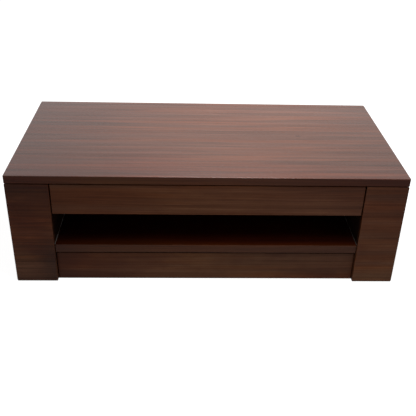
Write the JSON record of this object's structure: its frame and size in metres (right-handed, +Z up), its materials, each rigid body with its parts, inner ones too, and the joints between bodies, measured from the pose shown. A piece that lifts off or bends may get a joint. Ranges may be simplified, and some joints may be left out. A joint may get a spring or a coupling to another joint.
{
  "type": "lift top coffee table",
  "caption": "Low rectangular wooden coffee table with wide slab legs, an open shelf bay, a storage box and a spring-assisted top that lifts up and forward.",
  "frame": {"origin": "on the floor, under the centre of the table", "axes": "+X to the right along the length, -Y to the front where the shelf bay opens, +Z up"},
  "size_m": [1.2, 0.6, 0.375],
  "materials": {
    "walnut_top": "dark walnut veneer with a satin lacquer, grain along the length",
    "walnut_frame": "dark walnut veneer with a satin lacquer, grain along the length",
    "black_steel": "black powder coat",
    "zinc_steel": "bright zinc plate",
    "spring_steel": "oiled spring steel",
    "black_rubber": "soft rubber",
    "brown_plastic": "moulded plastic"
  },
  "bodies": {
    "carcass": {"left_leg_front": "walnut_frame", "left_leg_rear": "walnut_frame", "left_leg_outer": "walnut_frame", "left_leg_inner": "walnut_frame", "left_leg_top_cap": "walnut_frame", "left_leg_bottom_cap": "walnut_frame", "right_leg_front": "walnut_frame", "right_leg_rear": "walnut_frame", "right_leg_outer": "walnut_frame", "right_leg_inner": "walnut_frame", "right_leg_top_cap": "walnut_frame", "right_leg_bottom_cap": "walnut_frame", "front_apron": "walnut_frame", "rear_panel": "walnut_frame", "box_floor": "walnut_frame", "shelf": "walnut_frame", "front_plinth": "walnut_frame", "shelf_bearer": "walnut_frame", "left_front_glide": "brown_plastic", "left_rear_glide": "brown_plastic", "right_front_glide": "brown_plastic", "right_rear_glide": "brown_plastic", "left_front_bumper": "black_rubber", "left_rear_bumper": "black_rubber", "right_front_bumper": "black_rubber", "right_rear_bumper": "black_rubber", "left_base_rail": "black_steel", "right_base_rail": "black_steel", "left_front_base_pin": "zinc_steel", "left_rear_base_pin": "zinc_steel", "right_front_base_pin": "zinc_steel", "right_rear_base_pin": "zinc_steel", "left_spring_post": "zinc_steel", "right_spring_post": "zinc_steel", "left_spring": "spring_steel", "right_spring": "spring_steel"},
    "rear_arms": {"left_rear_arm": "black_steel", "right_rear_arm": "black_steel", "left_spring_stud": "zinc_steel", "right_spring_stud": "zinc_steel", "cross_bar": "black_steel"},
    "front_arms": {"left_front_arm": "black_steel", "right_front_arm": "black_steel"},
    "raised_top": {"lift_top": "walnut_top", "left_top_rail": "black_steel", "right_top_rail": "black_steel", "left_front_top_pin": "zinc_steel", "left_rear_top_pin": "zinc_steel", "right_front_top_pin": "zinc_steel", "right_rear_top_pin": "zinc_steel"}
  },
  "joints": [
    {"name": "lift", "type": "hinge", "parent": "carcass", "child": "rear_arms", "pos_m": [0, -0.09, 0.2828], "axis": [1, 0, 0], "range_deg": [0, 105], "deforming": ["left_spring", "right_spring"]},
    {"name": "front_link", "type": "hinge", "parent": "carcass", "child": "front_arms", "pos_m": [0, -0.2, 0.31142], "axis": [1, 0, 0], "range_deg": [0, 105]},
    {"name": "top_level", "type": "hinge", "parent": "rear_arms", "child": "raised_top", "pos_m": [0, 0.13469, 0.29458], "axis": [1, 0, 0], "range_deg": [-105, 0]}
  ],
  "couplings": [
    {"joint": "front_link", "follows": "lift", "ratio": 1},
    {"joint": "top_level", "follows": "lift", "ratio": -1}
  ]
}
